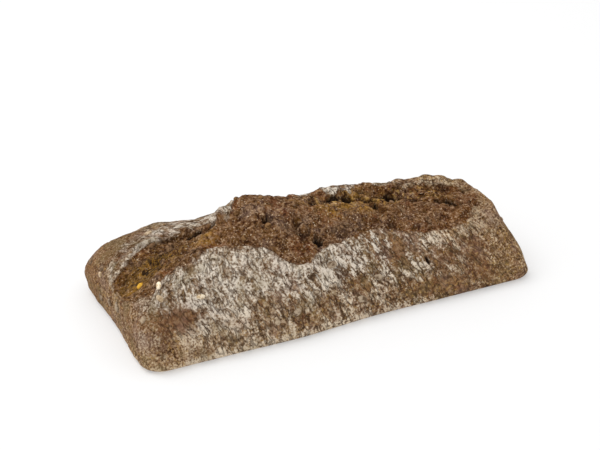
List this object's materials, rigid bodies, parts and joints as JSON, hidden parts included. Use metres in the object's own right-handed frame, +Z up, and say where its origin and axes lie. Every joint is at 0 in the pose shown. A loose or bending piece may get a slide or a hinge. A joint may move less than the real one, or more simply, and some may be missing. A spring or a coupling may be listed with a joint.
{
  "type": "whole grain roll",
  "caption": "Long rectangular whole grain bread roll with a flat base, floury leaning crust walls and a top burst open lengthwise over coarse dark crumb.",
  "frame": {"origin": "on the base, under the middle of the roll's bounding box", "axes": "+X along the roll towards its narrower right end, +Y from the front to the back, +Z up from the base"},
  "size_m": [0.168, 0.077, 0.043],
  "materials": {
    "roll": "matt, floury brown crust and coarse dark crumb"
  },
  "bodies": {
    "root": {"roll": "roll"}
  },
  "joints": []
}
